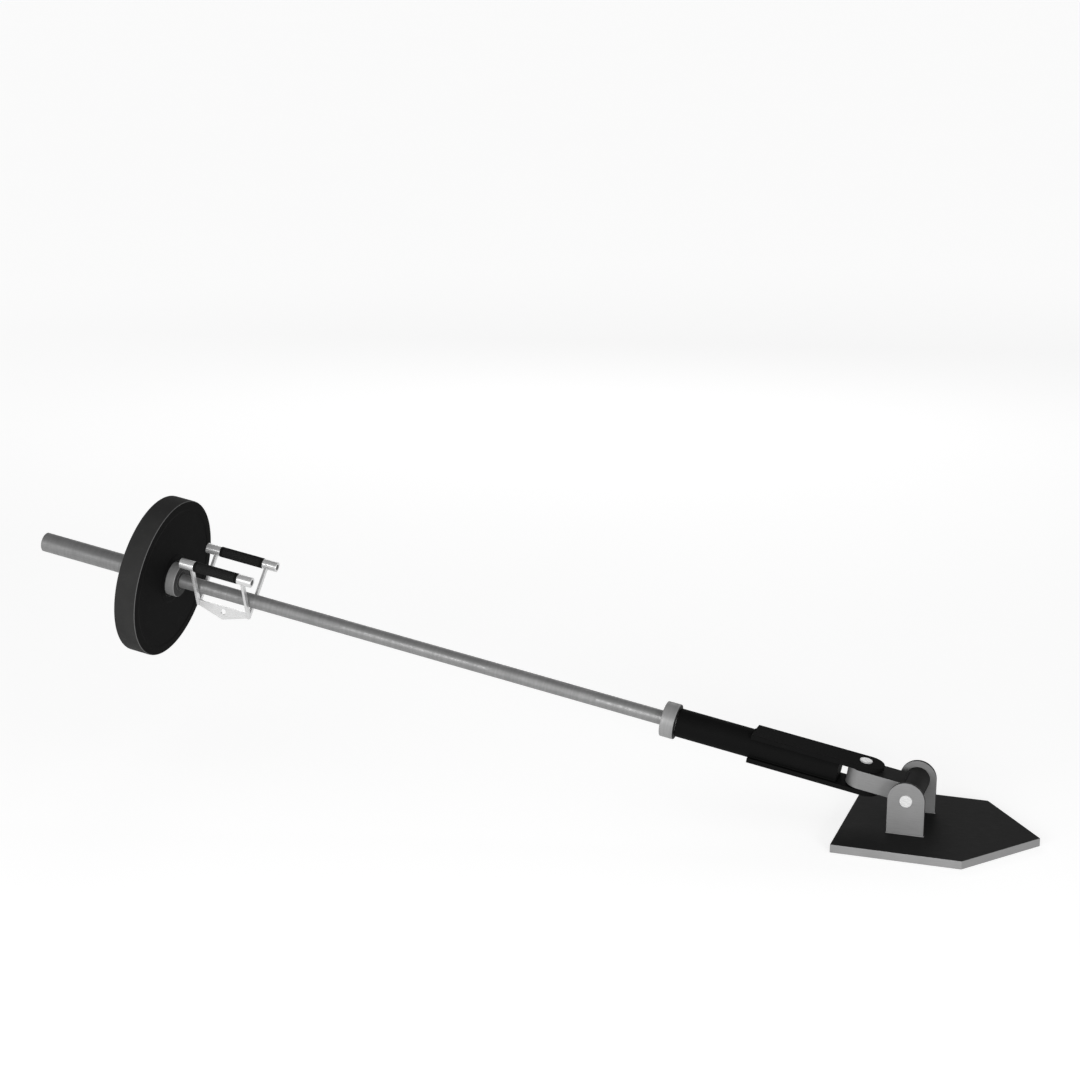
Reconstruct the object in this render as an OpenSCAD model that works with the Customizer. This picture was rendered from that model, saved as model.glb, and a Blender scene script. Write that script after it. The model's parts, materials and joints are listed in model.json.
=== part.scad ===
// T-bar row: a floor pivot that holds one end of an Olympic bar, with the bar,
// one weight plate and a V row handle that is pulled up against the bar.
//
// Z is up. The origin is on the floor, straight below the pivot pin.
// The pivot pin lies along Y. The bar runs towards -X and rises from the pivot.
// Bar pieces are drawn in the bar's own frame: X runs back along the bar to
// the pivot pin, Z is square to the bar, and s is the distance from the pin.

/* [Pose] */
// Angle of the bar above the floor, degrees
bar_pitch = 9.8; // [4:0.1:30]

/* [Base] */
// Length of the base plate's rectangular part
base_length = 303; // [240:1:400]
// Length of the pointed end beyond the rectangle
base_point = 150; // [80:1:200]
// Width of the base plate
base_width = 392; // [300:1:500]
// Thickness of the base plate
base_thickness = 20; // [10:1:24]
// Height of the pivot pin above the floor
pivot_height = 103; // [96:1:130]
// Radius of the rounded top of each pivot ear
ear_radius = 43.5; // [36:0.5:48]
// Thickness of each pivot ear
ear_thickness = 10; // [8:1:14]
// Distance between the two pivot ears
ear_gap = 144; // [140:1:170]

/* [Swivel head] */
// Outer diameter of the pivot barrel
barrel_diameter = 59; // [52:1:64]
// Width of the swivel link
link_width = 76; // [60:1:80]
// Thickness of the swivel link
link_thickness = 45; // [34:1:46]
// Distance from the pivot pin to the swivel pin
swivel_distance = 119.5; // [115:0.5:130]
// Diameter of both pins
pin_diameter = 25; // [20:1:25]

/* [Bar receiver] */
// Outer diameter of the receiver tube
receiver_diameter = 70; // [68:1:74]
// Wall thickness of the receiver tube
receiver_wall = 6; // [4:0.5:6.5]
// Width of the two clevis plates
clevis_width = 76; // [70:1:100]
// Distance from the swivel pin to the middle of the plates' round nose
clevis_nose = 7; // [0:1:12]
// Distance from the pivot pin to the far end of the clevis plates
clevis_end = 393; // [340:1:420]
// Distance from the pivot pin to the closed end of the receiver tube
receiver_start = 176; // [172:1:180]

/* [Bar] */
// Distance from the pivot pin to the bar's right collar
collar_start = 582; // [576:1:600]
// Thickness of each collar
collar_thickness = 34; // [20:1:36]
// Diameter of each collar
collar_diameter = 87; // [76:1:90]
// Distance between the two collars
shaft_length = 1310; // [1200:1:1310]
// Diameter of the shaft
shaft_diameter = 36; // [29:1:37]
// Diameter of the sleeves
sleeve_diameter = 50; // [48:0.5:50]
// Length of each sleeve outside its collar
sleeve_length = 365; // [340:1:370]

/* [Weight plate] */
// Diameter of the weight plate
weight_diameter = 411; // [350:1:450]
// Thickness of the weight plate
weight_thickness = 58.5; // [30:0.5:80]
// Depth that the hub, and so the collar, is sunk into the plate
hub_recess = 12; // [0:1:15]

/* [Row handle] */
// Distance from the pivot pin to the middle of the handle
handle_distance = 1799; // [1700:1:1805]
// Length of each grip from end to end
grip_length = 200; // [180:1:220]
// Length of the rubber on each grip
rubber_length = 121; // [100:1:125]
// Diameter of the ends of each grip
grip_diameter = 26; // [24:1:30]
// Distance between the two grips
grip_spacing = 148; // [130:1:170]
// Height of the grips above the middle of the bar
grip_height = 77; // [65:1:90]
// Distance between the two V plates
v_gap = 135; // [125:1:140]
// Width of the flat bar that the V plates are made of
v_strip = 12; // [10:1:16]

/* [Hidden] */
$fn = 96;
circlip_thickness = 1.5;
circlip_slack = 0.1;
running_gap = 0.05;
side_gap = 0.4;
curve_gap = 0.3;

pin_head_diameter = pin_diameter + 5;
pin_head_height = 3.2;
pin_tail = 3;
washer_thickness = 2;
washer_diameter = pin_diameter + 15;
circlip_depth = 1.2;
pin_chamfer = 1;

flange_room = 2;
barrel_half = ear_gap / 2 - flange_room;
bush_flange = flange_room - side_gap;
bush_wall = 3.5;
bush_length = 40;
bush_outer = pin_diameter + 2 * running_gap + 2 * bush_wall;
ear_outer = ear_gap / 2 + ear_thickness;

slot_clearance = 2;
slot_half = link_thickness / 2 + slot_clearance;
yaw_flange = slot_clearance - side_gap;
yaw_bush_length = link_thickness / 2 - 2;
plate_outer = receiver_diameter / 2 + 1;
weld_gap = 0.15;

liner_bore = sleeve_diameter + 2 * side_gap;
receiver_bore = receiver_diameter - 2 * receiver_wall;
receiver_end = collar_start - 3;
plug_thickness = 20;

right_collar_end = collar_start + collar_thickness;
left_collar_start = right_collar_end + shaft_length;
left_collar_end = left_collar_start + collar_thickness;
bar_tip = left_collar_end + sleeve_length;
sleeve_bore = 34;
journal_diameter = 28;
cap_thickness = 5;
snap_inset = 16;
bush_inset = 1;
inner_bush_length = 50;
outer_bush_length = 35;
snap_groove_depth = 1;
snap_start = collar_thickness + sleeve_length - cap_thickness - snap_inset + side_gap;
journal_reach = snap_start + 10 - side_gap;

hub_start = left_collar_end + side_gap;
weight_start = hub_start - hub_recess;
hub_diameter = 92;
hub_bore = sleeve_diameter + 2 * curve_gap;

grip_core = 20;
grip_bore = 14;
v_thickness = 7;
v_line_offset = shaft_diameter / 2 + curve_gap + v_strip / 2;
grip_reach = sqrt(pow(grip_spacing / 2, 2) + pow(grip_height, 2));
v_half_angle = atan(grip_spacing / 2 / grip_height) - asin(v_line_offset / grip_reach);
v_apex = -v_line_offset / sin(v_half_angle);
v_foot = -51;
gusset_thickness = 6;
gusset_top = -36;
gusset_shoulder = -51;
gusset_bottom = -72;
gusset_hole = 14.5;
gusset_hole_height = -50.5;

// ---- Frames ----

// The bar's own frame, turned up about the pivot pin
module bar_frame() {
    translate([0, 0, pivot_height]) rotate([0, bar_pitch, 0]) children();
}

// Extrusions along Z become extrusions away from the pivot, starting at s
module along_bar(s) {
    translate([-s, 0, 0]) rotate([0, -90, 0]) children();
}

// Extrusions along Z become extrusions along +Y, starting at y
module across(y) {
    translate([0, y, 0]) rotate([-90, 0, 0]) children();
}

// ---- Shapes that repeat ----

// Tube or ring, from z = 0 upwards
module ring(outer, inner, height) {
    rotate_extrude()
        translate([inner / 2, 0]) square([(outer - inner) / 2, height]);
}

// Cylinder with chamfered ends, from z = 0 upwards
module chamfered_rod(diameter, height, chamfer) {
    r = diameter / 2;
    rotate_extrude() polygon([
        [0, 0], [r - chamfer, 0], [r, chamfer],
        [r, height - chamfer], [r - chamfer, height], [0, height]
    ]);
}

// Headed pin: the head is below z = 0 and the circlip groove is above grip
module headed_pin(grip) {
    r = pin_diameter / 2;
    groove = grip + washer_thickness;
    groove_end = groove + circlip_thickness + circlip_slack;
    tip = groove_end + pin_tail;
    head = pin_head_diameter / 2;
    rotate_extrude() polygon([
        [0, -pin_head_height], [head - pin_chamfer, -pin_head_height],
        [head, pin_chamfer - pin_head_height], [head, 0], [r, 0],
        [r, groove], [r - circlip_depth, groove],
        [r - circlip_depth, groove_end], [r, groove_end],
        [r, tip - pin_chamfer], [r - pin_chamfer, tip], [0, tip]
    ]);
}

// Open retaining ring with two eyes for the pliers
module circlip(groove_diameter, width) {
    eye = 5;
    eye_hole = 2;
    mouth = 4;
    reach = groove_diameter / 2 + width;
    linear_extrude(circlip_thickness) difference() {
        union() {
            circle(d = groove_diameter + 2 * width);
            for (side = [-1, 1])
                translate([reach, side * (mouth + eye) / 2]) circle(d = eye);
        }
        circle(d = groove_diameter);
        translate([0, -mouth / 2]) square([2 * reach, mouth]);
        for (side = [-1, 1])
            translate([reach, side * (mouth + eye) / 2]) circle(d = eye_hole);
    }
}

// Bush with a thrust flange that sits below z = 0
module flanged_bush(inner, length, flange, flange_diameter) {
    outer = inner + 2 * bush_wall;
    ring(outer, inner, length);
    translate([0, 0, -flange]) ring(flange_diameter, inner, flange);
}

// ---- Base ----

module base_plate() {
    half_length = base_length / 2;
    half_width = base_width / 2;
    color("#262626") linear_extrude(base_thickness) polygon([
        [-half_length, -half_width], [half_length, -half_width],
        [half_length + base_point, 0],
        [half_length, half_width], [-half_length, half_width]
    ]);
}

// Upright lug with a rounded top, starting at y
module pivot_ear(y) {
    rise = pivot_height - base_thickness;
    color("#8a8a8a") translate([0, 0, pivot_height]) across(y)
        linear_extrude(ear_thickness) difference() {
            union() {
                circle(r = ear_radius);
                translate([-ear_radius, 0]) square([2 * ear_radius, rise]);
            }
            circle(d = pin_diameter);
        }
}

module front_pivot_ear() {
    pivot_ear(-ear_outer);
}

module rear_pivot_ear() {
    pivot_ear(ear_outer - ear_thickness);
}

module pivot_pin() {
    color("#d9dcda") translate([0, 0, pivot_height]) across(-ear_outer)
        headed_pin(2 * ear_outer);
}

module pivot_pin_washer() {
    color("#b8bab8") translate([0, 0, pivot_height]) across(ear_outer)
        ring(washer_diameter, pin_diameter, washer_thickness);
}

module pivot_pin_circlip() {
    color("#3c3c3c") translate([0, 0, pivot_height])
        across(ear_outer + washer_thickness + circlip_slack / 2)
        rotate([0, 0, 90]) circlip(pin_diameter - 2 * circlip_depth, 3.2);
}

// ---- Swivel head ----

module pivot_barrel() {
    color("#33332f") bar_frame() across(-barrel_half) difference() {
        cylinder(d = barrel_diameter, h = 2 * barrel_half);
        translate([0, 0, -1]) cylinder(d = bush_outer, h = 2 * barrel_half + 2);
    }
}

module pivot_bushes() {
    bore = pin_diameter + 2 * running_gap;
    color("#b08d4a") bar_frame() for (end = [0, 1])
        mirror([0, end, 0]) across(-barrel_half)
            flanged_bush(bore, bush_length, bush_flange, barrel_diameter - 13);
}

module swivel_link() {
    nose = swivel_distance;
    color("#7c7c7c") bar_frame() difference() {
        translate([0, 0, -link_thickness / 2]) linear_extrude(link_thickness) {
            translate([-nose, 0]) circle(d = link_width);
            translate([-nose, -link_width / 2]) square([nose, link_width]);
        }
        across(-link_width) cylinder(d = barrel_diameter, h = 2 * link_width);
        translate([-swivel_distance, 0, -link_thickness])
            cylinder(d = bush_outer, h = 2 * link_thickness);
    }
}

module swivel_bushes() {
    bore = pin_diameter + 2 * running_gap;
    color("#b08d4a") bar_frame() translate([-swivel_distance, 0, 0])
        for (end = [0, 1]) mirror([0, 0, end])
            translate([0, 0, -link_thickness / 2])
            flanged_bush(bore, yaw_bush_length, yaw_flange, link_width - 20);
}

// ---- Bar receiver ----

// Long flat plate above the link, round at the nose, hollowed for the tube
module clevis_plate() {
    thickness = plate_outer - slot_half;
    nose = swivel_distance - clevis_nose;
    tube_start = receiver_start - 1;
    difference() {
        translate([0, 0, slot_half]) linear_extrude(thickness) difference() {
            union() {
                translate([-nose, 0]) circle(d = clevis_width);
                translate([-clevis_end, -clevis_width / 2])
                    square([clevis_end - nose, clevis_width]);
            }
            translate([-swivel_distance, 0]) circle(d = pin_diameter);
        }
        along_bar(tube_start)
            cylinder(d = receiver_diameter + 2 * weld_gap, h = clevis_end);
    }
}

module upper_clevis_plate() {
    color("#141414") bar_frame() clevis_plate();
}

module lower_clevis_plate() {
    color("#141414") bar_frame() mirror([0, 0, 1]) clevis_plate();
}

module receiver_tube() {
    color("#141414") bar_frame() along_bar(receiver_start)
        ring(receiver_diameter, receiver_bore, receiver_end - receiver_start);
}

module receiver_end_plug() {
    color("#181818") bar_frame() along_bar(receiver_start)
        chamfered_rod(receiver_bore, plug_thickness, 0.8);
}

module receiver_liner() {
    start = receiver_start + plug_thickness;
    color("#d8d4c8") bar_frame() along_bar(start)
        ring(receiver_bore, liner_bore, receiver_end - start);
}

module swivel_pin() {
    color("#d9dcda") bar_frame() translate([-swivel_distance, 0, plate_outer])
        mirror([0, 0, 1]) headed_pin(2 * plate_outer);
}

module swivel_pin_washer() {
    drop = plate_outer + washer_thickness;
    color("#b8bab8") bar_frame() translate([-swivel_distance, 0, -drop])
        ring(washer_diameter, pin_diameter, washer_thickness);
}

module swivel_pin_circlip() {
    drop = plate_outer + washer_thickness + circlip_thickness + circlip_slack / 2;
    color("#3c3c3c") bar_frame() translate([-swivel_distance, 0, -drop])
        circlip(pin_diameter - 2 * circlip_depth, 3.2);
}

// ---- Bar ----

// Rotating sleeve: z = 0 is the collar's shaft side, the open end is far off
module sleeve() {
    length = collar_thickness + sleeve_length;
    chamfer = 2;
    outer = sleeve_diameter / 2;
    inner = sleeve_bore / 2;
    rotate_extrude() polygon([
        [inner, 0], [outer, 0],
        [outer, length - chamfer], [outer - chamfer, length], [inner, length]
    ]);
}

module collar() {
    chamfer = 1.5;
    outer = collar_diameter / 2;
    inner = sleeve_diameter / 2;
    rotate_extrude() polygon([
        [inner, 0], [outer - chamfer, 0], [outer, chamfer],
        [outer, collar_thickness - chamfer],
        [outer - chamfer, collar_thickness], [inner, collar_thickness]
    ]);
}

module sleeve_bushes() {
    bore = journal_diameter + 2 * running_gap;
    far = collar_thickness + sleeve_length - cap_thickness - snap_inset;
    translate([0, 0, bush_inset]) ring(sleeve_bore, bore, inner_bush_length);
    translate([0, 0, far - outer_bush_length])
        ring(sleeve_bore, bore, outer_bush_length);
}

module end_cap() {
    length = collar_thickness + sleeve_length;
    translate([0, 0, length - cap_thickness - 1])
        chamfered_rod(sleeve_bore, cap_thickness, 0.8);
}

// The right sleeve is turned towards the pivot, the left one away from it
module right_side() {
    bar_frame() translate([-right_collar_end, 0, 0]) rotate([0, 90, 0]) children();
}

module left_side() {
    bar_frame() along_bar(left_collar_start) children();
}

module right_sleeve() {
    color("#8c8c8c") right_side() sleeve();
}

module right_collar() {
    color("#858585") right_side() collar();
}

module right_sleeve_bushes() {
    color("#b08d4a") right_side() sleeve_bushes();
}

module right_end_cap() {
    color("#9a9a9a") right_side() end_cap();
}

module left_sleeve() {
    color("#8c8c8c") left_side() sleeve();
}

module left_collar() {
    color("#858585") left_side() collar();
}

module left_sleeve_bushes() {
    color("#b08d4a") left_side() sleeve_bushes();
}

module left_end_cap() {
    color("#9a9a9a") left_side() end_cap();
}

// One half of the shaft, from its middle at z = 0 outwards
module half_shaft() {
    shoulder = shaft_length / 2 - side_gap;
    tip = shaft_length / 2 + journal_reach;
    groove = shaft_length / 2 + snap_start;
    groove_end = groove + circlip_thickness + circlip_slack;
    body_r = shaft_diameter / 2;
    journal_r = journal_diameter / 2;
    rotate_extrude() polygon([
        [0, 0], [body_r, 0], [body_r, shoulder - 1], [body_r - 1, shoulder],
        [journal_r, shoulder], [journal_r, groove],
        [journal_r - snap_groove_depth, groove],
        [journal_r - snap_groove_depth, groove_end], [journal_r, groove_end],
        [journal_r, tip - 1], [journal_r - 1, tip], [0, tip]
    ]);
}

module shaft_middle() {
    bar_frame() along_bar(right_collar_end + shaft_length / 2) children();
}

module bar_shaft() {
    color("#8f8f8f") shaft_middle() {
        half_shaft();
        mirror([0, 0, 1]) half_shaft();
    }
}

module sleeve_snap_rings() {
    groove = shaft_length / 2 + snap_start + circlip_slack / 2;
    color("#3c3c3c") shaft_middle() for (end = [0, 1]) mirror([0, 0, end])
        translate([0, 0, groove]) difference() {
            ring(journal_diameter + 4, journal_diameter - 2 * snap_groove_depth,
                circlip_thickness);
            translate([0, -2, -1])
                cube([journal_diameter, 4, circlip_thickness + 2]);
        }
}

// ---- Weight plate ----

module weight_plate() {
    outer = weight_diameter / 2;
    chamfer = 5;
    color("#171717") bar_frame() along_bar(weight_start) rotate_extrude()
        polygon([
            [hub_diameter / 2, 0], [outer - chamfer, 0], [outer, chamfer],
            [outer, weight_thickness - chamfer],
            [outer - chamfer, weight_thickness], [hub_diameter / 2, weight_thickness]
        ]);
}

module weight_plate_hub() {
    color("#a0a0a0") bar_frame() along_bar(hub_start)
        ring(hub_diameter, hub_bore, weight_thickness - hub_recess);
}

// ---- Row handle ----

module handle_frame() {
    bar_frame() translate([-handle_distance, 0, 0]) children();
}

// Grip pieces lie along the bar, centred on the handle, on the given side
module on_grip(side) {
    handle_frame() translate([0, side * grip_spacing / 2, grip_height])
        rotate([0, -90, 0]) children();
}

// Outer foot, outer top and inner top of one arm of the V
function v_arm(side) = let (
    reach = v_strip / 2,
    outer_apex = v_apex - reach / sin(v_half_angle),
    foot = (v_foot - outer_apex) * tan(v_half_angle),
    shift = [reach * cos(v_half_angle), -reach * sin(v_half_angle)],
    top = [grip_spacing / 2, grip_height]
) [for (point = [[foot, v_foot], top + shift, top - shift]) [side * point.x, point.y]];

// V of flat bar, drawn across the bar, that the shaft wedges into
module v_outline() {
    right = v_arm(1);
    left = v_arm(-1);
    inner_apex = [0, v_apex + v_strip / 2 / sin(v_half_angle)];
    difference() {
        polygon([right[0], right[1], right[2], inner_apex, left[2], left[1], left[0]]);
        for (side = [-1, 1]) translate([side * grip_spacing / 2, grip_height])
            circle(d = grip_diameter);
    }
}

// V plate at the handle's left end, or mirrored to its right end
module v_plate(end) {
    color("#c4c6c4") handle_frame() mirror([end, 0, 0])
        translate([-v_gap / 2, 0, 0]) rotate([90, 0, -90])
        linear_extrude(v_thickness) v_outline();
}

module left_v_plate() {
    v_plate(0);
}

module right_v_plate() {
    v_plate(1);
}

module handle_gusset() {
    half = v_gap / 2;
    color("#cdcfcd") handle_frame() translate([0, gusset_thickness / 2, 0])
        rotate([90, 0, 0]) linear_extrude(gusset_thickness) difference() {
            polygon([
                [-half, gusset_top], [-half, gusset_shoulder], [0, gusset_bottom],
                [half, gusset_shoulder], [half, gusset_top]
            ]);
            translate([0, gusset_hole_height]) circle(d = gusset_hole);
        }
}

module grip_core(side) {
    end = grip_length / 2;
    neck = rubber_length / 2;
    outer = grip_diameter / 2;
    chamfer = 1.5;
    color("#c9cbc9") on_grip(side) rotate_extrude() polygon([
        [grip_bore / 2, -end], [outer - chamfer, -end], [outer, chamfer - end],
        [outer, -neck], [grip_core / 2, -neck], [grip_core / 2, neck],
        [outer, neck], [outer, end - chamfer], [outer - chamfer, end],
        [grip_bore / 2, end]
    ]);
}

module rubber_grip(side) {
    rim = 1;
    end = rubber_length / 2;
    outer = grip_diameter / 2 + 0.5;
    color("#101010") on_grip(side) rotate_extrude() polygon([
        [grip_core / 2, -end], [outer - rim, -end], [outer, rim - end],
        [outer, end - rim], [outer - rim, end], [grip_core / 2, end]
    ]);
}

module front_grip_core() {
    grip_core(-1);
}

module rear_grip_core() {
    grip_core(1);
}

module front_rubber_grip() {
    rubber_grip(-1);
}

module rear_rubber_grip() {
    rubber_grip(1);
}

module grip_end_plugs() {
    depth = 10;
    color("#202020") for (side = [-1, 1], end = [0, 1])
        on_grip(side) mirror([0, 0, end])
            translate([0, 0, grip_length / 2 - depth])
            chamfered_rod(grip_bore, depth, 0.8);
}

base_plate();
front_pivot_ear();
rear_pivot_ear();
pivot_pin();
pivot_pin_washer();
pivot_pin_circlip();
pivot_barrel();
pivot_bushes();
swivel_link();
swivel_bushes();
upper_clevis_plate();
lower_clevis_plate();
receiver_tube();
receiver_end_plug();
receiver_liner();
swivel_pin();
swivel_pin_washer();
swivel_pin_circlip();
right_sleeve();
right_collar();
right_sleeve_bushes();
right_end_cap();
bar_shaft();
sleeve_snap_rings();
left_sleeve();
left_collar();
left_sleeve_bushes();
left_end_cap();
weight_plate();
weight_plate_hub();
left_v_plate();
right_v_plate();
handle_gusset();
front_grip_core();
rear_grip_core();
front_rubber_grip();
rear_rubber_grip();
grip_end_plugs();
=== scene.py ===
import json
import math

import bmesh
import bpy
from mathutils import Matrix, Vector


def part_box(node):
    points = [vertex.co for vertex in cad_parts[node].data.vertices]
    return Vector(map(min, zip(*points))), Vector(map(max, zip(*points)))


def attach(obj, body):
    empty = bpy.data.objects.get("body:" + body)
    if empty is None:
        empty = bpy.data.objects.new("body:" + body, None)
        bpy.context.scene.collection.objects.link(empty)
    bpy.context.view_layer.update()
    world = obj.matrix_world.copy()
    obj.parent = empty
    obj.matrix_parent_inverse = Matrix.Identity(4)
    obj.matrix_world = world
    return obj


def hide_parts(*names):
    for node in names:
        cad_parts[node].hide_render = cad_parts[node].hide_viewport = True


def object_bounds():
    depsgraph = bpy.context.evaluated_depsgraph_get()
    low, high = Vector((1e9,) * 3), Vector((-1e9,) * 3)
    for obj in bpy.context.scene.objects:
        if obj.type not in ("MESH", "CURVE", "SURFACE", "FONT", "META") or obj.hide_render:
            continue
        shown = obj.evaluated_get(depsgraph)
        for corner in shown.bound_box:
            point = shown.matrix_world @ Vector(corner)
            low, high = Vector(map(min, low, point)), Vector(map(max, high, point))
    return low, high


# T-bar row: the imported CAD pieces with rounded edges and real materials, and
# detail that the CAD leaves out: weld beads, grip ribs and a dished plate.

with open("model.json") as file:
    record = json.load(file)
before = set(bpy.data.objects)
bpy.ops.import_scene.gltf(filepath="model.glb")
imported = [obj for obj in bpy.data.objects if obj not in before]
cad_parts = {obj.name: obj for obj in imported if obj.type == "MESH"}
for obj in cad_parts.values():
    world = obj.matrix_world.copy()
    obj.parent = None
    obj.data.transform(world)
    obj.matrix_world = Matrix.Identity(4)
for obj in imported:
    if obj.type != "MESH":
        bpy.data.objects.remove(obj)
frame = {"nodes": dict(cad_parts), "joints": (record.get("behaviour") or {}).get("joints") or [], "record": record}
CAD_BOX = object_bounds()
NODES = frame["nodes"]
JOINTS = {joint["name"]: joint for joint in frame["joints"]}
BODY_OF = {
    name: body
    for body, names in frame["record"]["behaviour"]["bodies"].items()
    for name in names
}
SLOT_OF = {row["node"]: row["material_slot"] for row in frame["record"]["subparts"]}
MM = 0.001

# The bar's own frame: S runs along the bar away from the pivot pin, Y is the
# row's Y, and UP is square to the bar. A point there is (s, y, z). PITCH is how
# far the bar slopes up at rest.
PIVOT = Vector(JOINTS["bar_raise"]["pos_m"])
ALONG = Vector(JOINTS["shaft_spin"]["axis"]).normalized()
ACROSS = Vector((0, 1, 0))
UP = ALONG.cross(ACROSS).normalized() * -1
PITCH = math.asin(ALONG.z)


def at_bar(s, y=0.0, z=0.0):
    return PIVOT + ALONG * s + ACROSS * y + UP * z


def bar_box(node):
    """Lowest and highest corner of a CAD node in the bar's frame."""
    points = []
    for vertex in NODES[node].data.vertices:
        offset = vertex.co - PIVOT
        points.append((offset.dot(ALONG), offset.dot(ACROSS), offset.dot(UP)))
    low = Vector(min(p[i] for p in points) for i in range(3))
    high = Vector(max(p[i] for p in points) for i in range(3))
    return low, high


# ---------------------------------------------------------------- materials


class Shade:
    """A node material with short calls for the nodes that it needs."""

    def __init__(self, name):
        self.material = bpy.data.materials.new(name)
        self.material.use_nodes = True
        self.tree = self.material.node_tree
        self.tree.nodes.clear()
        self.surface = self.node("ShaderNodeBsdfPrincipled")
        output = self.node("ShaderNodeOutputMaterial")
        self.tree.links.new(self.surface.outputs["BSDF"], output.inputs["Surface"])

    def node(self, kind, inputs=None, **settings):
        made = self.tree.nodes.new(kind)
        for key, value in settings.items():
            setattr(made, key, value)
        for key, value in (inputs or {}).items():
            self.put(made.inputs[key], value)
        return made

    def put(self, socket, value):
        if isinstance(value, bpy.types.NodeSocket):
            self.tree.links.new(value, socket)
        else:
            socket.default_value = value

    def math(self, operation, first, second=0.0):
        inputs = {0: first, 1: second}
        return self.node("ShaderNodeMath", inputs, operation=operation).outputs[0]

    def vector_math(self, operation, first, second=(0, 0, 0), out=0):
        inputs = {0: first, 1: second}
        return self.node("ShaderNodeVectorMath", inputs, operation=operation).outputs[out]

    def place(self, along_bar=False):
        """Place on the object at rest, in the row's frame or the bar's."""
        place = self.node("ShaderNodeTexCoord").outputs["Object"]
        if not along_bar:
            return place
        inputs = {"Vector": place, "Center": PIVOT, "Angle": -PITCH}
        turned = self.node("ShaderNodeVectorRotate", inputs, rotation_type="Y_AXIS")
        return self.vector_math("SUBTRACT", turned.outputs[0], tuple(PIVOT))

    def facing(self, along_bar=False):
        """Which way the surface faces, in the row's frame or the bar's."""
        facing = self.node("ShaderNodeTexCoord").outputs["Normal"]
        if not along_bar:
            return facing
        inputs = {"Vector": facing, "Angle": -PITCH}
        return self.node("ShaderNodeVectorRotate", inputs, rotation_type="Y_AXIS").outputs[0]

    def axis(self, vector, index):
        return self.node("ShaderNodeSeparateXYZ", {0: vector}).outputs[index]

    def noise(self, place, stretch, detail=3.0, rough=0.55):
        """Noise from 0 to 1 whose grain is 1/stretch metres on each axis."""
        scaled = self.vector_math("MULTIPLY", place, stretch)
        inputs = {"Vector": scaled, "Scale": 1.0, "Detail": detail, "Roughness": rough}
        return self.node("ShaderNodeTexNoise", inputs).outputs[0]

    def spread(self, value, low, high, to_low=0.0, to_high=1.0):
        """Changes low..high to to_low..to_high, clamped and eased at both ends."""
        inputs = {0: value, 1: low, 2: high, 3: to_low, 4: to_high}
        made = self.node("ShaderNodeMapRange", inputs, interpolation_type="SMOOTHSTEP")
        return made.outputs[0]

    def mix(self, share, first, second):
        made = self.node("ShaderNodeMix", data_type="RGBA")
        self.put(made.inputs[0], share)
        for socket, colour in ((made.inputs[6], first), (made.inputs[7], second)):
            if isinstance(colour, tuple) and len(colour) == 3:
                colour = (*colour, 1.0)
            self.put(socket, colour)
        return made.outputs[2]

    def grey(self, level):
        return (level, level, level)

    def edges(self, radius):
        """1 on outside edges, 0 on flat faces."""
        rounded = self.node("ShaderNodeBevel", {"Radius": radius}, samples=4).outputs[0]
        plain = self.node("ShaderNodeNewGeometry").outputs["Normal"]
        agree = self.vector_math("DOT_PRODUCT", rounded, plain, out="Value")
        return self.spread(self.math("SUBTRACT", 1.0, agree), 0.01, 0.12)

    def bump(self, height, strength, distance, under=None):
        inputs = {"Height": height, "Strength": strength, "Distance": distance}
        if under is not None:
            inputs["Normal"] = under
        return self.node("ShaderNodeBump", inputs).outputs[0]

    def finish(self, colour, metal, roughness, normal, specular=0.5):
        self.put(self.surface.inputs["Base Color"], colour)
        self.put(self.surface.inputs["Metallic"], metal)
        self.put(self.surface.inputs["Roughness"], roughness)
        self.put(self.surface.inputs["Normal"], normal)
        self.surface.inputs["Specular IOR Level"].default_value = specular
        return self.material


# A level is how much light a surface sends back, from 0 to 1. A share is how
# much of a colour or mask is mixed in.


def tinted(level, tint=(1.0, 1.0, 1.0)):
    return tuple(level * part for part in tint)


def powder_coat(name, level, worn_level, wear):
    """Powder coat with orange peel, faint scuffs and worn edges."""
    rough = 0.6
    shade = Shade(name)
    place = shade.place()
    cloud = shade.noise(place, shade.grey(9.0), 4.0)
    peel = shade.noise(place, shade.grey(900.0), 2.0)
    scuff = shade.spread(shade.noise(place, (35.0, 260.0, 90.0), 5.0, 0.65), 0.62, 0.78)
    colour = shade.mix(cloud, tinted(level * 0.8), tinted(level * 1.25))
    colour = shade.mix(shade.math("MULTIPLY", scuff, 0.35), colour, tinted(level * 2.2))
    chips = shade.spread(shade.noise(place, shade.grey(210.0), 4.0, 0.7), 0.48, 0.62)
    worn = shade.math("MULTIPLY", shade.edges(1.2 * MM), chips)
    worn = shade.math("MULTIPLY", worn, wear)
    colour = shade.mix(worn, colour, tinted(worn_level))
    roughness = shade.spread(peel, 0.2, 0.8, rough - 0.07, rough + 0.09)
    roughness = shade.math("ADD", roughness, shade.math("MULTIPLY", scuff, 0.12))
    metal = shade.math("MULTIPLY", worn, 0.8)
    normal = shade.bump(peel, 0.35, 0.12 * MM)
    return shade.finish(colour, metal, roughness, normal, specular=0.015)


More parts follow.
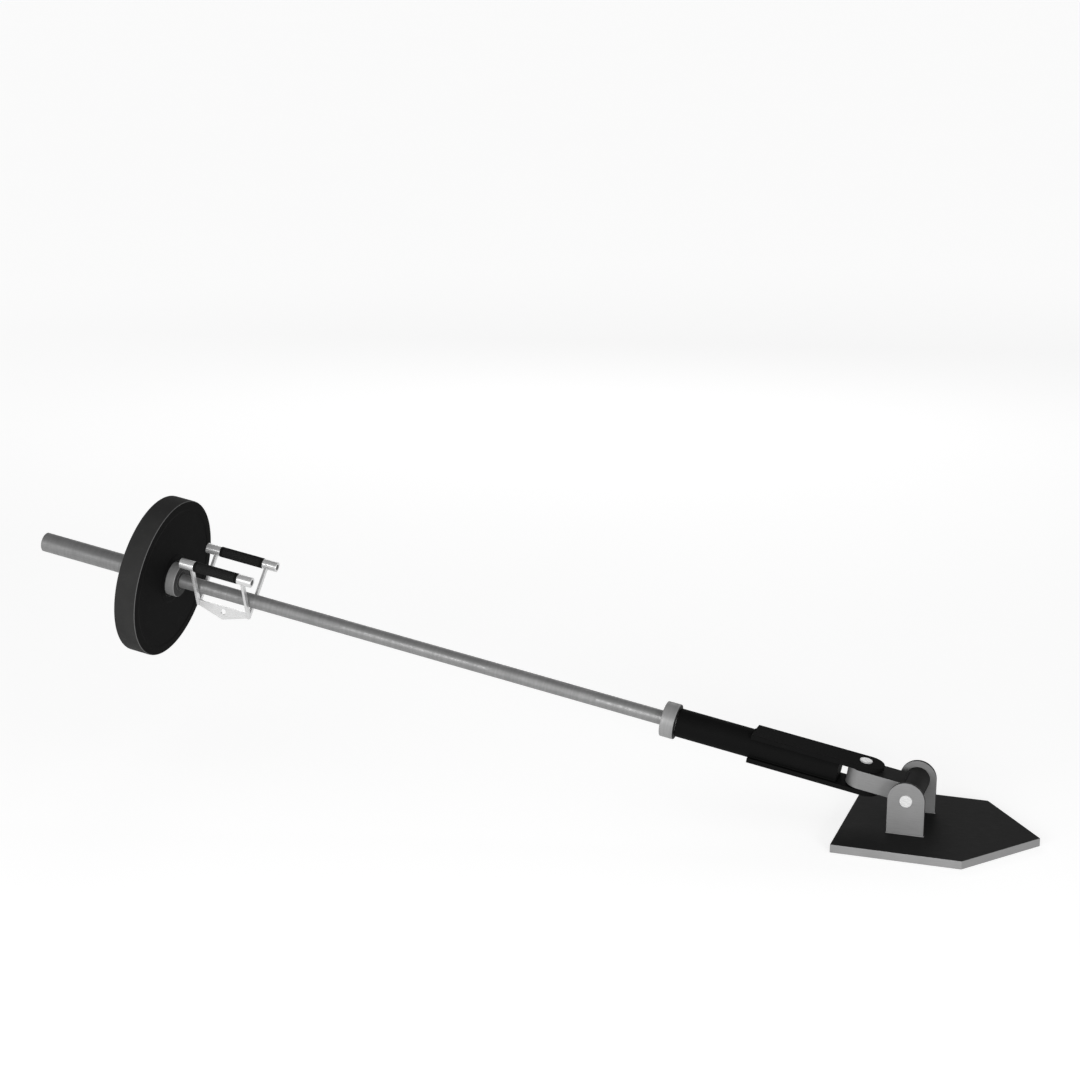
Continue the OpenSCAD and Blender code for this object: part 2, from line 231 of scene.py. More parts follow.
def turned_steel(name, level, metal=0.65, dark_end=0.0, knurled=()):
    """Lathe-turned satin steel: fine rings round the bar, knurled zones, and a painted highlight on the edges.

    dark_end is how far the end faces towards the pivot are darkened with painted shade, which also makes them less
    metallic and rougher.
    """
    rough = 0.45
    shade = Shade(name)
    place = shade.place(along_bar=True)
    rings = shade.noise(place, (2600.0, 6.0, 6.0), 2.0)
    bands = shade.noise(place, (160.0, 20.0, 20.0), 3.0)
    cloud = shade.noise(place, shade.grey(14.0), 4.0)
    colour = shade.mix(cloud, tinted(level * 0.82), tinted(level * 1.14))
    colour = shade.mix(shade.spread(bands, 0.3, 0.7, 0.0, 0.35), colour, tinted(level * 0.7))
    smear = shade.spread(shade.noise(place, (40.0, 60.0, 60.0), 5.0, 0.7), 0.55, 0.75)
    colour = shade.mix(shade.math("MULTIPLY", smear, 0.25), colour, tinted(level * 0.5))
    # Painted highlight: the edges lighter
    edge = shade.math("MULTIPLY", shade.edges(1.0 * MM), 0.5)
    colour = shade.mix(edge, colour, tinted(min(1.0, level * 1.7)))
    roughness = shade.spread(bands, 0.2, 0.8, rough - 0.08, rough + 0.1)
    # Painted shade on the end faces towards the pivot
    if dark_end:
        end_face = shade.axis(shade.facing(along_bar=True), 0)
        end_face = shade.spread(end_face, 0.7, 0.95)
        painted_end_shade = shade.math("MULTIPLY", end_face, dark_end)
        colour = shade.mix(painted_end_shade, colour, tinted(level * 0.08))
        metal = shade.math("SUBTRACT", metal, shade.math("MULTIPLY", painted_end_shade, metal))
        roughness = shade.math("ADD", roughness, shade.math("MULTIPLY", painted_end_shade, 0.3))
    normal = shade.bump(rings, 0.25, 0.05 * MM)
    if knurled:
        normal = knurl(shade, place, knurled, normal)
    return shade.finish(colour, metal, roughness, normal, specular=0.15)


def knurl(shade, place, zones, under):
    """Diamond knurl on the zones, each from s to s along the bar."""
    pitch = 1.6 * MM
    starts = 60.0
    around = shade.math("ARCTAN2", shade.axis(place, 1), shade.axis(place, 2))
    along = shade.math("MULTIPLY", shade.axis(place, 0), 2 * math.pi / pitch)
    turns = shade.math("MULTIPLY", around, starts)
    left = shade.math("SINE", shade.math("ADD", along, turns))
    right = shade.math("SINE", shade.math("SUBTRACT", along, turns))
    diamonds = shade.math("MULTIPLY", left, right)
    inside = None
    s = shade.math("MULTIPLY", shade.axis(place, 0), -1.0)
    for low, high in zones:
        above = shade.math("GREATER_THAN", s, low)
        below = shade.math("LESS_THAN", s, high)
        zone = shade.math("MULTIPLY", above, below)
        inside = zone if inside is None else shade.math("ADD", inside, zone)
    height = shade.math("MULTIPLY", diamonds, inside)
    return shade.bump(height, 0.5, 0.2 * MM, under)


def ground_steel(name, level, painted_shade_level, shaded_faces, along_bar=False, metal=0.55):
    """Ground plate steel. The faces that the given picker chooses get painted shade: they are made darker, rougher
    and less metallic.
    """
    rough = 0.4
    shade = Shade(name)
    place = shade.place(along_bar)
    streaks = shade.noise(place, (28.0, 900.0, 900.0), 4.0, 0.6)
    cloud = shade.noise(place, shade.grey(11.0), 4.0)
    mottle = shade.noise(place, shade.grey(120.0), 5.0, 0.65)
    steel = shade.mix(cloud, tinted(level * 0.85), tinted(level * 1.12))
    steel = shade.mix(shade.spread(streaks, 0.35, 0.7, 0.0, 0.3), steel, tinted(level * 0.68))
    fine = shade.noise(place, shade.grey(700.0), 2.0)
    # Painted shade: a dark colour, with random mottle and scuffs, for the faces turned away from the light
    painted_shade = shade.mix(mottle, tinted(painted_shade_level * 0.8), tinted(painted_shade_level * 1.3))
    scuff = shade.spread(shade.noise(place, (60.0, 200.0, 90.0), 5.0, 0.7), 0.6, 0.76)
    painted_shade = shade.mix(shade.math("MULTIPLY", scuff, 0.3), painted_shade, tinted(painted_shade_level * 2.6))
    # Where the painted shade goes; further down it also makes those faces rougher and less metallic
    mask = shaded_faces(shade, shade.facing(along_bar))
    # Painted highlight on the edges: the painted shade is taken off them, and they are made lighter
    edge = shade.edges(1.2 * MM)
    kept = shade.math("SUBTRACT", 1.0, shade.math("MULTIPLY", edge, 0.6))
    mask = shade.math("MULTIPLY", mask, kept)
    colour = shade.mix(mask, steel, painted_shade)
    colour = shade.mix(shade.math("MULTIPLY", edge, 0.35), colour, tinted(level * 1.5))
    unshaded = shade.math("SUBTRACT", 1.0, mask)
    metal = shade.math("MULTIPLY", unshaded, metal)
    steel_rough = shade.spread(streaks, 0.2, 0.8, rough - 0.06, rough + 0.12)
    roughness = shade.math("ADD", steel_rough, shade.math("MULTIPLY", mask, 0.2))
    scratches = shade.bump(streaks, 0.12, 0.05 * MM)
    grain = shade.math("MULTIPLY", fine, mask)
    normal = shade.bump(grain, 0.4, 0.15 * MM, scratches)
    return shade.finish(colour, metal, roughness, normal, specular=0.05)


def plated_steel(name, level, rough=0.3, metal=0.75):
    """Light satin plate, lightly brushed, with handling marks and a painted highlight on the edges."""
    shade = Shade(name)
    place = shade.place(along_bar=True)
    streaks = shade.noise(place, (40.0, 1300.0, 1300.0), 3.0)
    cloud = shade.noise(place, shade.grey(30.0), 4.0)
    marks = shade.spread(shade.noise(place, (90.0, 160.0, 160.0), 6.0, 0.7), 0.58, 0.74)
    colour = shade.mix(cloud, tinted(level * 0.9), tinted(min(1.0, level * 1.06)))
    colour = shade.mix(shade.math("MULTIPLY", marks, 0.18), colour, tinted(level * 0.55))
    # Painted highlight: the edges lighter
    edge = shade.math("MULTIPLY", shade.edges(0.8 * MM), 0.4)
    colour = shade.mix(edge, colour, tinted(min(1.0, level * 1.3)))
    roughness = shade.spread(streaks, 0.2, 0.8, rough - 0.08, rough + 0.1)
    normal = shade.bump(streaks, 0.12, 0.04 * MM)
    return shade.finish(colour, metal, roughness, normal)


def rubber(name, level, grain=1500.0, face_share=1.0):
    """Moulded rubber: fine pores and pale dust, and the edges lighter as a painted highlight.

    face_share is how bright the end faces are next to the rest: below 1 it paints shade on them, with a painted
    highlight on the corner round them.
    """
    rough = 0.62
    shade = Shade(name)
    place = shade.place(along_bar=True)
    pores = shade.noise(place, shade.grey(grain), 3.0, 0.6)
    cloud = shade.noise(place, shade.grey(12.0), 5.0, 0.6)
    colour = shade.mix(cloud, tinted(level * 0.75), tinted(level * 1.3, (1.0, 1.0, 0.98)))
    dust = shade.spread(shade.noise(place, shade.grey(55.0), 6.0, 0.7), 0.55, 0.8)
    colour = shade.mix(shade.math("MULTIPLY", dust, 0.3), colour, tinted(level * 2.4))
    # Painted highlight: the edges lighter
    edge = shade.math("MULTIPLY", shade.edges(2.0 * MM), 0.6)
    # Painted shade on the end faces, with real dust over it, and a painted highlight on the corner between each
    # face and the rim
    if face_share < 1.0:
        end_on = shade.math("ABSOLUTE", shade.axis(shade.facing(along_bar=True), 0))
        end_face = shade.spread(end_on, 0.75, 0.97)
        face = tinted(level * face_share)
        dust_on_shaded_face = shade.mix(dust, face, tinted(level * face_share * 2))
        colour = shade.mix(end_face, colour, dust_on_shaded_face)
        corner = shade.math("SUBTRACT", shade.spread(end_on, 0.3, 0.55), end_face)
        edge = shade.math("MAXIMUM", edge, shade.math("MULTIPLY", corner, 0.7))
    colour = shade.mix(edge, colour, tinted(level * 5.0))
    roughness = shade.spread(pores, 0.2, 0.8, rough - 0.08, rough + 0.12)
    normal = shade.bump(pores, 0.35, 0.12 * MM)
    return shade.finish(colour, 0.0, roughness, normal, specular=0.02)


def plain_metal(name, level, tint, rough=0.3):
    """Small turned parts: bronze bushes, zinc washers and spring clips."""
    shade = Shade(name)
    place = shade.place()
    fine = shade.noise(place, shade.grey(1800.0), 3.0)
    cloud = shade.noise(place, shade.grey(80.0), 4.0)
    low = tinted(level * 0.75, tint)
    high = tinted(level * 1.1, tint)
    colour = shade.mix(cloud, low, high)
    # Painted highlight: the edges lighter
    colour = shade.mix(shade.math("MULTIPLY", shade.edges(0.5 * MM), 0.4), colour, high)
    roughness = shade.spread(cloud, 0.3, 0.7, rough - 0.08, rough + 0.1)
    normal = shade.bump(fine, 0.2, 0.04 * MM)
    return shade.finish(colour, 0.95, roughness, normal)


def moulded_plastic(name, level, tint=(1.0, 1.0, 1.0)):
    """Satin plastic with a fine moulded grain."""
    rough = 0.45
    shade = Shade(name)
    place = shade.place()
    grain = shade.noise(place, shade.grey(1200.0), 3.0)
    cloud = shade.noise(place, shade.grey(60.0), 3.0)
    colour = shade.mix(cloud, tinted(level * 0.9, tint), tinted(level * 1.1, tint))
    roughness = shade.spread(grain, 0.3, 0.7, rough - 0.06, rough + 0.08)
    normal = shade.bump(grain, 0.25, 0.06 * MM)
    return shade.finish(colour, 0.0, roughness, normal)


def broad_faces(shade, facing):
    """Picks the faces that look up or down, for painted shade."""
    return shade.spread(shade.math("ABSOLUTE", shade.axis(facing, 2)), 0.55, 0.8)


def edge_faces(shade, facing):
    """Picks the faces that don't look along Y, for painted shade."""
    return shade.spread(shade.math("ABSOLUTE", shade.axis(facing, 1)), 0.5, 0.2)


# The knurled zones, as shares of the bare shaft between the collars
KNURL_SHARES = ((0.13, 0.35), (0.65, 0.87))
SHAFT_START = bar_box("right_collar")[1].x
SHAFT_SPAN = bar_box("left_collar")[0].x - SHAFT_START
KNURLED = [
    [SHAFT_START + share * SHAFT_SPAN for share in shares] for shares in KNURL_SHARES
]

NYLON = (1.0, 0.97, 0.9)
BRONZE = (1.0, 0.72, 0.38)
ZINC = (0.98, 1.0, 1.0)
GREY = (1.0, 1.0, 1.0)
MATERIALS = {
    # base_coat, ear_steel and link_steel get painted shade on the faces that their pickers choose
    "base_coat": ground_steel("base_coat", 0.24, painted_shade_level=0.012, shaded_faces=broad_faces),
    "ear_steel": ground_steel(
        "ear_steel", 0.21, painted_shade_level=0.03, shaded_faces=edge_faces, metal=0.3
    ),
    "link_steel": ground_steel(
        "link_steel", 0.22, painted_shade_level=0.012, shaded_faces=broad_faces, along_bar=True
    ),
    "barrel_paint": powder_coat("barrel_paint", 0.022, worn_level=0.16, wear=0.3),
    "black_coat": powder_coat("black_coat", 0.005, worn_level=0.07, wear=0.35),
    "pin_steel": plated_steel("pin_steel", 0.6, rough=0.26, metal=0.5),
    "handle_chrome": plated_steel("handle_chrome", 0.62),
    "bar_steel": turned_steel("bar_steel", 0.24, knurled=KNURLED),
    # dark_end paints shade on the end faces of the sleeves and collars
    "sleeve_steel": turned_steel("sleeve_steel", 0.24, dark_end=0.97),
    "collar_steel": turned_steel("collar_steel", 0.25, metal=0.3, dark_end=0.97),
    "hub_steel": turned_steel("hub_steel", 0.3),
    # face_share paints shade on the plate's faces
    "plate_rubber": rubber("plate_rubber", 0.026, grain=1100.0, face_share=0.16),
    "grip_rubber": rubber("grip_rubber", 0.007),
    "bush_bronze": plain_metal("bush_bronze", 0.55, BRONZE),
    "spring_steel": plain_metal("spring_steel", 0.12, GREY, rough=0.4),
    "washer_zinc": plain_metal("washer_zinc", 0.6, ZINC),
    "liner_nylon": moulded_plastic("liner_nylon", 0.62, NYLON),
    "plug_plastic": moulded_plastic("plug_plastic", 0.02),
}

# ------------------------------------------------------------------- meshes

# Turns at or below FLAT are one face, and edges above SHARP are rounded.
FLAT = math.radians(0.5)
SHARP = math.radians(28.0)


def finish_piece(name, mesh, slot_name, body, *stands_for):
    """Puts the mesh on its body and slot, in place of the CAD nodes named."""
    piece = bpy.data.objects.new(name, mesh)
    bpy.context.scene.collection.objects.link(piece)
    mesh.materials.clear()
    mesh.materials.append(MATERIALS[slot_name])
    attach(piece, body)
    if stands_for:
        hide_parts(*stands_for)
    return piece


def smooth(piece, sharp_degrees=40.0):
    """Shades smooth, but for edges that turn more than sharp_degrees."""
    piece.data.shade_smooth()
    piece.data.set_sharp_from_angle(angle=math.radians(sharp_degrees))
    weighted = piece.modifiers.new("even_normals", "WEIGHTED_NORMAL")
    weighted.keep_sharp = True
    return piece


def refined(node, radius):
    """The CAD node's own shape, with clean faces and rounded edges."""
    shape = bmesh.new()
    shape.from_mesh(NODES[node].data)
    bmesh.ops.remove_doubles(shape, verts=shape.verts, dist=0.01 * MM)
    bmesh.ops.dissolve_limit(
        shape, angle_limit=FLAT, verts=shape.verts, edges=shape.edges
    )
    sharp = [
        edge
        for edge in shape.edges
        if len(edge.link_faces) == 2 and edge.calc_face_angle() > SHARP
    ]
    bmesh.ops.bevel(
        shape, geom=sharp, offset=radius, segments=3, profile=0.5,
        affect="EDGES", clamp_overlap=True, loop_slide=False,
    )
    mesh = bpy.data.meshes.new(node + "_finished")
    shape.to_mesh(mesh)
    shape.free()
    for name in ("custom_normal", "sharp_edge", "sharp_face"):
        if name in mesh.attributes:
            mesh.attributes.remove(mesh.attributes[name])
    piece = finish_piece(node + "_finished", mesh, SLOT_OF[node], BODY_OF[node], node)
    return smooth(piece)


def lathe(name, profile, centre, slot_name, body, stands_for=(), steps=128):
    """Turns a closed outline of (s, radius) about the line s through centre."""
    shape = bmesh.new()
    rings = []
    for step in range(steps):
        angle = 2 * math.pi * step / steps
        spoke = ACROSS * math.cos(angle) + UP * math.sin(angle)
        rings.append([
            shape.verts.new(PIVOT + ALONG * s + centre + spoke * radius)
            for s, radius in profile
        ])
    count = len(profile)
    for step in range(steps):
        here, there = rings[step], rings[(step + 1) % steps]
        for i in range(count):
            j = (i + 1) % count
            if profile[i][1] == 0 and profile[j][1] == 0:
                continue
            shape.faces.new((here[i], here[j], there[j], there[i]))
    bmesh.ops.remove_doubles(shape, verts=shape.verts, dist=0.001 * MM)
    bmesh.ops.recalc_face_normals(shape, faces=shape.faces)
    mesh = bpy.data.meshes.new(name)
    shape.to_mesh(mesh)
    shape.free()
    return smooth(finish_piece(name, mesh, slot_name, body, *stands_for), 32.0)


def rounded(points, radius, steps=5):
    """Rounds every corner of a closed outline of (s, radius) points."""
    most = 0.45  # of the side that a corner's curve may take
    outline = []
    count = len(points)
    for i, point in enumerate(points):
        corner = Vector(point)
        before = Vector(points[i - 1]) - corner
        after = Vector(points[(i + 1) % count]) - corner
        cut = min(radius, before.length * most, after.length * most)
        start = corner + before.normalized() * cut
        end = corner + after.normalized() * cut
        for step in range(steps + 1):
            t = step / steps
            curve = start * (1 - t) ** 2 + corner * 2 * t * (1 - t) + end * t**2
            outline.append((curve.x, curve.y))
    return outline


def weld(name, path, radius, slot_name, body, closed=False, pitch=3.2 * MM):
    """A rippled weld bead along a path of points in the row's frame."""
    sides = 10
    rings_a_ripple = 4
    between, ripple = 0.88, 0.18  # shares of the radius
    tip, taper = 0.35, 5  # an open bead's end, and the rings to full size
    points = resample(path, pitch / rings_a_ripple, closed)
    count = len(points)
    shape = bmesh.new()
    rings = []
    for i, point in enumerate(points):
        before = points[i - 1] if closed or i else point
        after = points[(i + 1) % count] if closed or i < count - 1 else point
        forward = (after - before).normalized()
        side = forward.cross(UP)
        if side.length < 0.2:
            side = forward.cross(ALONG)
        side.normalize()
        lift = side.cross(forward).normalized()
        phase = (i % rings_a_ripple) / rings_a_ripple
        swell = radius * (between + ripple * math.sin(math.pi * phase))
        if not closed:
            swell *= min(1.0, tip + min(i, count - 1 - i) / taper)
        rings.append([
            shape.verts.new(
                point
                + side * swell * math.cos(2 * math.pi * k / sides)
                + lift * swell * math.sin(2 * math.pi * k / sides)
            )
            for k in range(sides)
        ])
    last = count if closed else count - 1
    for i in range(last):
        here, there = rings[i], rings[(i + 1) % count]
        for k in range(sides):
            j = (k + 1) % sides
            shape.faces.new((here[k], here[j], there[j], there[k]))
    if not closed:
        shape.faces.new(list(reversed(rings[0])))
        shape.faces.new(rings[-1])
    bmesh.ops.recalc_face_normals(shape, faces=shape.faces)
    mesh = bpy.data.meshes.new(name)
    shape.to_mesh(mesh)
    shape.free()
    piece = finish_piece(name, mesh, slot_name, body)
    piece.data.shade_smooth()
    return piece


def resample(path, spacing, closed):
    """Even points along a path of straight stretches."""
    corners = list(path) + ([path[0]] if closed else [])
    lengths = [(b - a).length for a, b in zip(corners, corners[1:])]
    total = sum(lengths)
    count = max(4, round(total / spacing))
    points = []
    for i in range(count if closed else count + 1):
        distance = total * i / count
        k = 0
        while k < len(lengths) - 1 and distance > lengths[k]:
            distance -= lengths[k]
            k += 1
        share = distance / lengths[k] if lengths[k] else 0.0
        points.append(corners[k].lerp(corners[k + 1], share))
    return points


# ------------------------------------------------------------------ pieces

# The plain plates and tubes, and the radius of their edges
EDGE_RADII = {
    "base_plate": 1.2 * MM,
    "front_pivot_ear": 0.9 * MM,
    "rear_pivot_ear": 0.9 * MM,
    "swivel_link": 1.2 * MM,
    "upper_clevis_plate": 1.0 * MM,
    "lower_clevis_plate": 1.0 * MM,
    "pivot_barrel": 0.8 * MM,
    "receiver_tube": 0.8 * MM,
    "left_v_plate": 0.8 * MM,
    "right_v_plate": 0.8 * MM,
    "handle_gusset": 0.7 * MM,
}
GRIP_CORE_RADIUS = 10 * MM
GRIP_BORE_RADIUS = 7 * MM
RIB_PITCH = 3.2 * MM


def weight_plate():
    """Rubber plate: a raised rim and hub ring, and a shallow dish between."""
    low, high = bar_box("weight_plate")
    hub = bar_box("weight_plate_hub")[1].z
    inset = 0.4 * MM
    rim = high.z - inset
    dish = 1.2 * MM
    rim_width = 22 * MM
    hub_ring = 16 * MM
    slope = 4 * MM
    outline = [
        (low.x, hub), (low.x, hub + hub_ring), (low.x + dish, hub + hub_ring + slope),
        (low.x + dish, rim - rim_width - slope), (low.x, rim - rim_width),
        (low.x, rim), (high.x, rim), (high.x, rim - rim_width),
        (high.x - dish, rim - rim_width - slope),
        (high.x - dish, hub + hub_ring + slope), (high.x, hub + hub_ring),
        (high.x, hub),
    ]
    lathe(
        "weight_plate_rubber", rounded(outline, 4 * MM), Vector(), "plate_rubber",
        "weight", ("weight_plate",), steps=192,
    )


def weight_hub():
    """Steel hub ring with a lead-in chamfer at both ends of its bore."""
    low, high = bar_box("weight_plate_hub")
    room = 0.3 * MM
    bore = bar_box("left_sleeve")[1].z + room
    lead = 2.5 * MM
    outline = [
        (low.x, bore + lead), (low.x, high.z), (high.x, high.z),
        (high.x, bore + lead), (high.x - lead, bore), (low.x + lead, bore),
    ]
    lathe(
        "weight_plate_hub_ring", rounded(outline, 0.8 * MM, 2), Vector(), "hub_steel",
        "weight", ("weight_plate_hub",),
    )


def grip_round(node):
    """A grip piece's centre line in y and z, and its radius."""
    low, high = bar_box(node)
    return (low.y + high.y) / 2, (low.z + high.z) / 2, (high.z - low.z) / 2


def rubber_grip(side):
    """Grip sleeve with fine moulded grooves and a smooth band at each end."""
    node = side + "_rubber_grip"
    low, high = bar_box(node)
    centre_y, centre_z, outer = grip_round(node)
    core = GRIP_CORE_RADIUS
    band = 8 * MM
    chamfer = 0.8 * MM
    groove_depth = 0.55 * MM
    groove = ((0.0, 0.0), (0.18, groove_depth), (0.42, groove_depth), (0.6, 0.0))
    length = high.x - low.x - 2 * band
    ribs = round(length / RIB_PITCH)
    pitch = length / ribs
    outline = [(low.x, core), (low.x, outer - chamfer), (low.x + chamfer, outer)]
    for i in range(ribs):
        start = low.x + band + pitch * i
        outline += [(start + share * pitch, outer - depth) for share, depth in groove]
    outline += [(high.x - chamfer, outer), (high.x, outer - chamfer), (high.x, core)]
    centre = ACROSS * centre_y + UP * centre_z
    lathe(node + "_ribbed", outline, centre, "grip_rubber", "row_handle", (node,), 64)


def grip_core(side):
    """Turned grip core: two ends with rounded rims, thinner under the rubber."""
    node = side + "_grip_core"
    rubber_low, rubber_high = bar_box(side + "_rubber_grip")
    low, high = bar_box(node)
    centre_y, centre_z, outer = grip_round(node)
    bore, core = GRIP_BORE_RADIUS, GRIP_CORE_RADIUS
    outline = [
        (low.x, bore), (low.x, outer), (rubber_low.x, outer), (rubber_low.x, core),
        (rubber_high.x, core), (rubber_high.x, outer), (high.x, outer), (high.x, bore),
    ]
    centre = ACROSS * centre_y + UP * centre_z
    lathe(
        node + "_turned", rounded(outline, 1.6 * MM), centre, "handle_chrome",
        "row_handle", (node,), 96,
    )


def collar(side):
    """Collar with rounded rims."""
    node = side + "_collar"
    low, high = bar_box(node)
    bore = bar_box("left_sleeve")[1].z
    outline = [(low.x, bore), (low.x, high.z), (high.x, high.z), (high.x, bore)]
    body = "bar_" + side + "_sleeve"
    lathe(
        node + "_turned", rounded(outline, 2.2 * MM), Vector(), "collar_steel",
        body, (node,),
    )


def end_cap(side):
    """Sleeve end cap with a turned ring groove and a centre dimple."""
    node = side + "_end_cap"
    low, high = bar_box(node)
    outer = high.z
    face, back, inward = (high.x, low.x, -1) if side == "left" else (low.x, high.x, 1)
    chamfer = 0.6 * MM
    groove = face + inward * 1.2 * MM
    dimple = face + inward * 1.5 * MM
    outline = [
        (back, 0.0), (back, outer), (face + inward * chamfer, outer),
        (face, outer - chamfer), (face, outer * 0.72), (groove, outer * 0.66),
        (groove, outer * 0.3), (face, outer * 0.25), (face, outer * 0.12),
        (dimple, 0.0),
    ]
    body = "bar_" + side + "_sleeve"
    lathe(node + "_turned", outline, Vector(), "sleeve_steel", body, (node,), 96)


def ear_welds():
    """A bead all round the foot of each ear."""
    for side in ("front", "rear"):
        low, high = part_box(side + "_pivot_ear")
        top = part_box("base_plate")[1].z
        corners = [
            Vector((low[0], low[1], top)), Vector((high[0], low[1], top)),
            Vector((high[0], high[1], top)), Vector((low[0], high[1], top)),
        ]
        weld(side + "_ear_weld", corners, 1.9 * MM, "ear_steel", "base", closed=True)


def link_weld():
    """A bead where the link meets the barrel."""
    low, high = bar_box("swivel_link")
    barrel = bar_box("pivot_barrel")[1].z
    steps = 8
    side_points = [low.z + (high.z - low.z) * i / steps for i in range(steps + 1)]

    def on_barrel(y, z):
        return at_bar(math.sqrt(barrel**2 - z**2), y, z)

    path = [on_barrel(low.y, z) for z in side_points]
    path += [on_barrel(high.y, z) for z in reversed(side_points)]
    weld("link_weld", path, 2.6 * MM, "barrel_paint", "swivel_head", closed=True)


def receiver_welds():
    """Beads between each clevis plate and the tube: two sides and one end."""
    tube = bar_box("receiver_tube")[1].z
    start = bar_box("receiver_tube")[0].x
    for side, node in ((1, "upper_clevis_plate"), (-1, "lower_clevis_plate")):
        low, high = bar_box(node)
        inner = low.z if side == 1 else high.z
        half = math.sqrt(tube**2 - inner**2)
        name = node.replace("_plate", "")
        for hand, word in ((-1, "front"), (1, "rear")):
            path = [at_bar(start, hand * half, inner), at_bar(high.x, hand * half, inner)]
            weld(f"{name}_{word}_weld", path, 2.4 * MM, "black_coat", "receiver")
        first = math.acos(half / tube)
        steps = 12
        arc = [first + (math.pi - 2 * first) * i / steps for i in range(steps + 1)]
        path = [
            at_bar(high.x, tube * math.cos(turn), side * tube * math.sin(turn))
            for turn in arc
        ]
        weld(f"{name}_end_weld", path, 2.4 * MM, "black_coat", "receiver")


def handle_welds():
    """Short beads where each V arm meets its grip."""
    grip_y, grip_z, radius = grip_round("front_grip_core")
    arms_meet = -42 * MM
    slope = math.atan2(arms_meet - grip_z, -grip_y)
    spread = math.radians(32)
    steps = 8
    for plate in ("left_v_plate", "right_v_plate"):
        low, high = bar_box(plate)
        for hand, word in ((-1, "front"), (1, "rear")):
            for face, s in (("outer", low.x), ("inner", high.x)):
                path = []
                for i in range(steps + 1):
                    turn = slope - spread + 2 * spread * i / steps
                    y = grip_y + radius * math.cos(turn)
                    z = grip_z + radius * math.sin(turn)
                    path.append(at_bar(s, -hand * y, z))
                name = f"{plate}_{word}_{face}_weld"
                weld(name, path, 1.3 * MM, "handle_chrome", "row_handle", pitch=2 * MM)


for node_name, edge_radius in EDGE_RADII.items():
    refined(node_name, edge_radius)
for node_name, cad_node in NODES.items():
    cad_node.data.materials.clear()
    cad_node.data.materials.append(MATERIALS[SLOT_OF[node_name]])
weight_plate()
weight_hub()
for side_name in ("front", "rear"):
    rubber_grip(side_name)
    grip_core(side_name)
for side_name in ("left", "right"):
    collar(side_name)
    end_cap(side_name)
ear_welds()
link_weld()
receiver_welds()
handle_welds()

# ------------------------------------------------- camera, floor and lights

LOOK_AT = Vector((-0.925, 0.0, 0.6262))
CAMERA_DISTANCE = 5.663
CAMERA_AZIMUTH = math.radians(19.08)
CAMERA_ELEVATION = math.radians(15.374)
CAMERA_LENS = 78.23


def make_camera():
    """The photograph's own view of the row, a little above it."""
    back = Vector((
        math.sin(CAMERA_AZIMUTH) * math.cos(CAMERA_ELEVATION),
        -math.cos(CAMERA_AZIMUTH) * math.cos(CAMERA_ELEVATION),
        math.sin(CAMERA_ELEVATION),
    ))
    data = bpy.data.cameras.new("camera")
    data.lens = CAMERA_LENS
    data.sensor_width = 36.0
    data.clip_end = 200.0
    camera = bpy.data.objects.new("camera", data)
    bpy.context.scene.collection.objects.link(camera)
    camera.location = LOOK_AT + back * CAMERA_DISTANCE
    camera.rotation_euler = (-back).to_track_quat("-Z", "Y").to_euler()
    bpy.context.scene.camera = camera


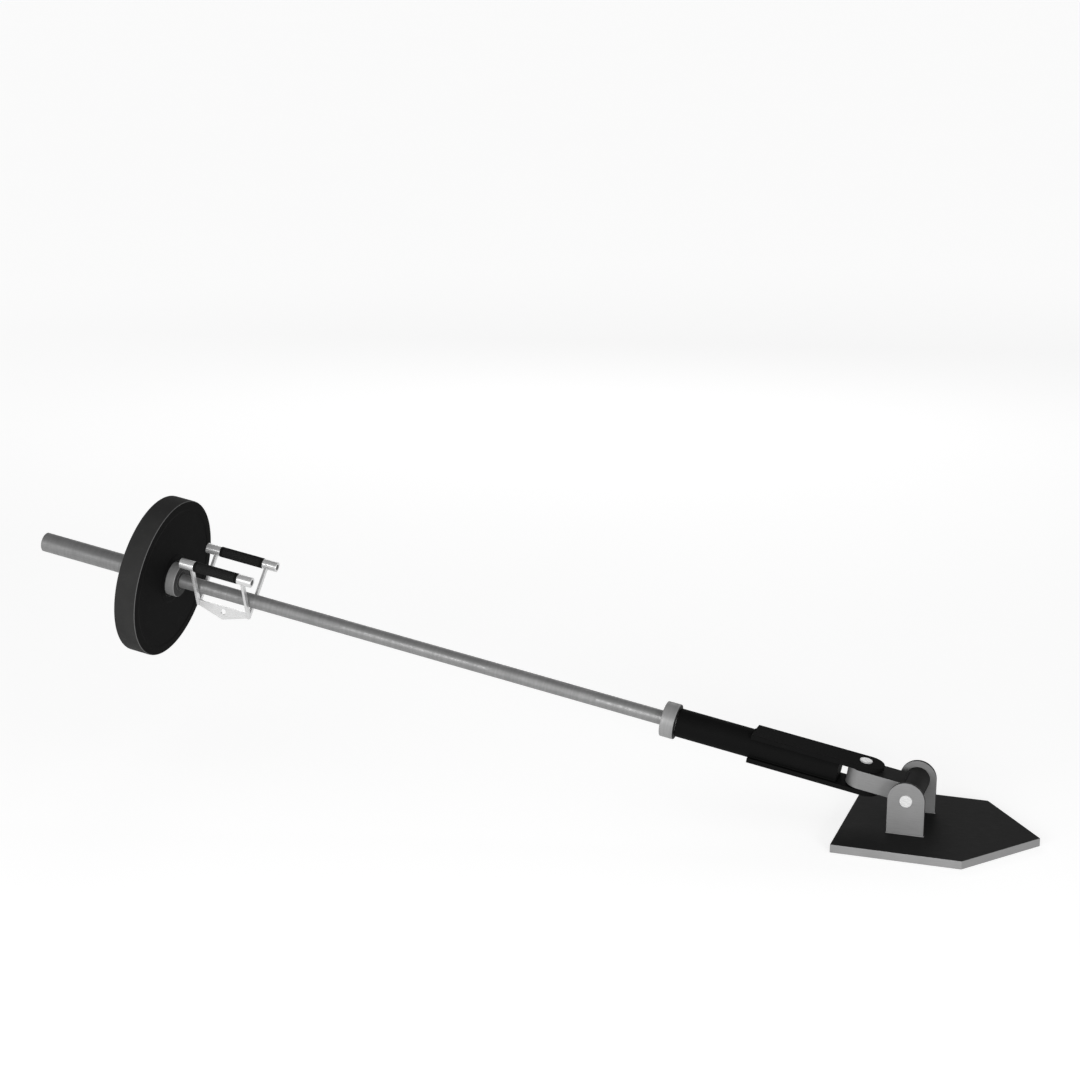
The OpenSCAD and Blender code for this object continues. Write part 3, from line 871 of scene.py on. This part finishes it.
def make_floor():
    """A plain pale floor that runs on to the horizon."""
    shade = Shade("floor")
    place = shade.place()
    cloud = shade.noise(place, shade.grey(0.6), 3.0)
    colour = shade.mix(cloud, tinted(0.45), tinted(0.47))
    shade.put(shade.surface.inputs["Base Color"], colour)
    shade.surface.inputs["Roughness"].default_value = 0.9
    shade.surface.inputs["Specular IOR Level"].default_value = 0.1
    shade.surface.inputs["Emission Color"].default_value = (1, 1, 1, 1)
    # A little brighter far off, where the lights don't reach
    near, far = 3.0, 9.0
    near_glow, far_glow = 0.7, 0.79
    distance = shade.vector_math("LENGTH", place, out="Value")
    glow = shade.spread(distance, near, far, near_glow, far_glow)
    shade.put(shade.surface.inputs["Emission Strength"], glow)
    half = 60.0
    below = 0.2 * MM
    mesh = bpy.data.meshes.new("floor")
    corners = [(-half, -half, 0), (half, -half, 0), (half, half, 0), (-half, half, 0)]
    mesh.from_pydata(corners, [], [(0, 1, 2, 3)])
    mesh.materials.append(shade.material)
    floor = bpy.data.objects.new("floor", mesh)
    bpy.context.scene.collection.objects.link(floor)
    floor.location.z = CAD_BOX[0].z - below


def area_light(name, place, size, power, target):
    data = bpy.data.lights.new(name, "AREA")
    data.shape = "RECTANGLE"
    data.size, data.size_y = size
    data.energy = power
    light = bpy.data.objects.new(name, data)
    bpy.context.scene.collection.objects.link(light)
    light.location = place
    light.rotation_euler = (Vector(place) - Vector(target)).to_track_quat("Z", "Y").to_euler()
    light.visible_camera = False


def make_sky():
    """White light from all round, brighter at the horizon than overhead."""
    low, high = 0.02, 0.24
    horizon, overhead = 0.85, 0.34
    world = bpy.data.worlds.new("studio")
    world.use_nodes = True
    tree = world.node_tree
    background = tree.nodes["Background"]
    background.inputs["Color"].default_value = (1, 1, 1, 1)
    direction = tree.nodes.new("ShaderNodeTexCoord")
    split = tree.nodes.new("ShaderNodeSeparateXYZ")
    fade = tree.nodes.new("ShaderNodeMapRange")
    fade.interpolation_type = "SMOOTHSTEP"
    for i, value in enumerate((low, high, horizon, overhead)):
        fade.inputs[i + 1].default_value = value
    tree.links.new(direction.outputs["Generated"], split.inputs[0])
    tree.links.new(split.outputs[2], fade.inputs[0])
    tree.links.new(fade.outputs[0], background.inputs["Strength"])
    bpy.context.scene.world = world


def make_lights():
    """A wide key in front, a fill on the pivot ears, and a light behind."""
    middle = (CAD_BOX[0] + CAD_BOX[1]) / 2
    ears = (0.0, 0.0, 0.2)
    area_light("key", (-1.2, -5.0, 1.3), (4.5, 1.6), 160.0, middle)
    area_light("fill", (2.3, -3.7, 0.8), (1.4, 1.0), 100.0, ears)
    area_light("back", (-2.0, 4.6, 2.6), (3.5, 1.6), 40.0, middle)


make_camera()
make_floor()
make_sky()
make_lights()
bpy.context.scene.view_settings.view_transform = "Standard"
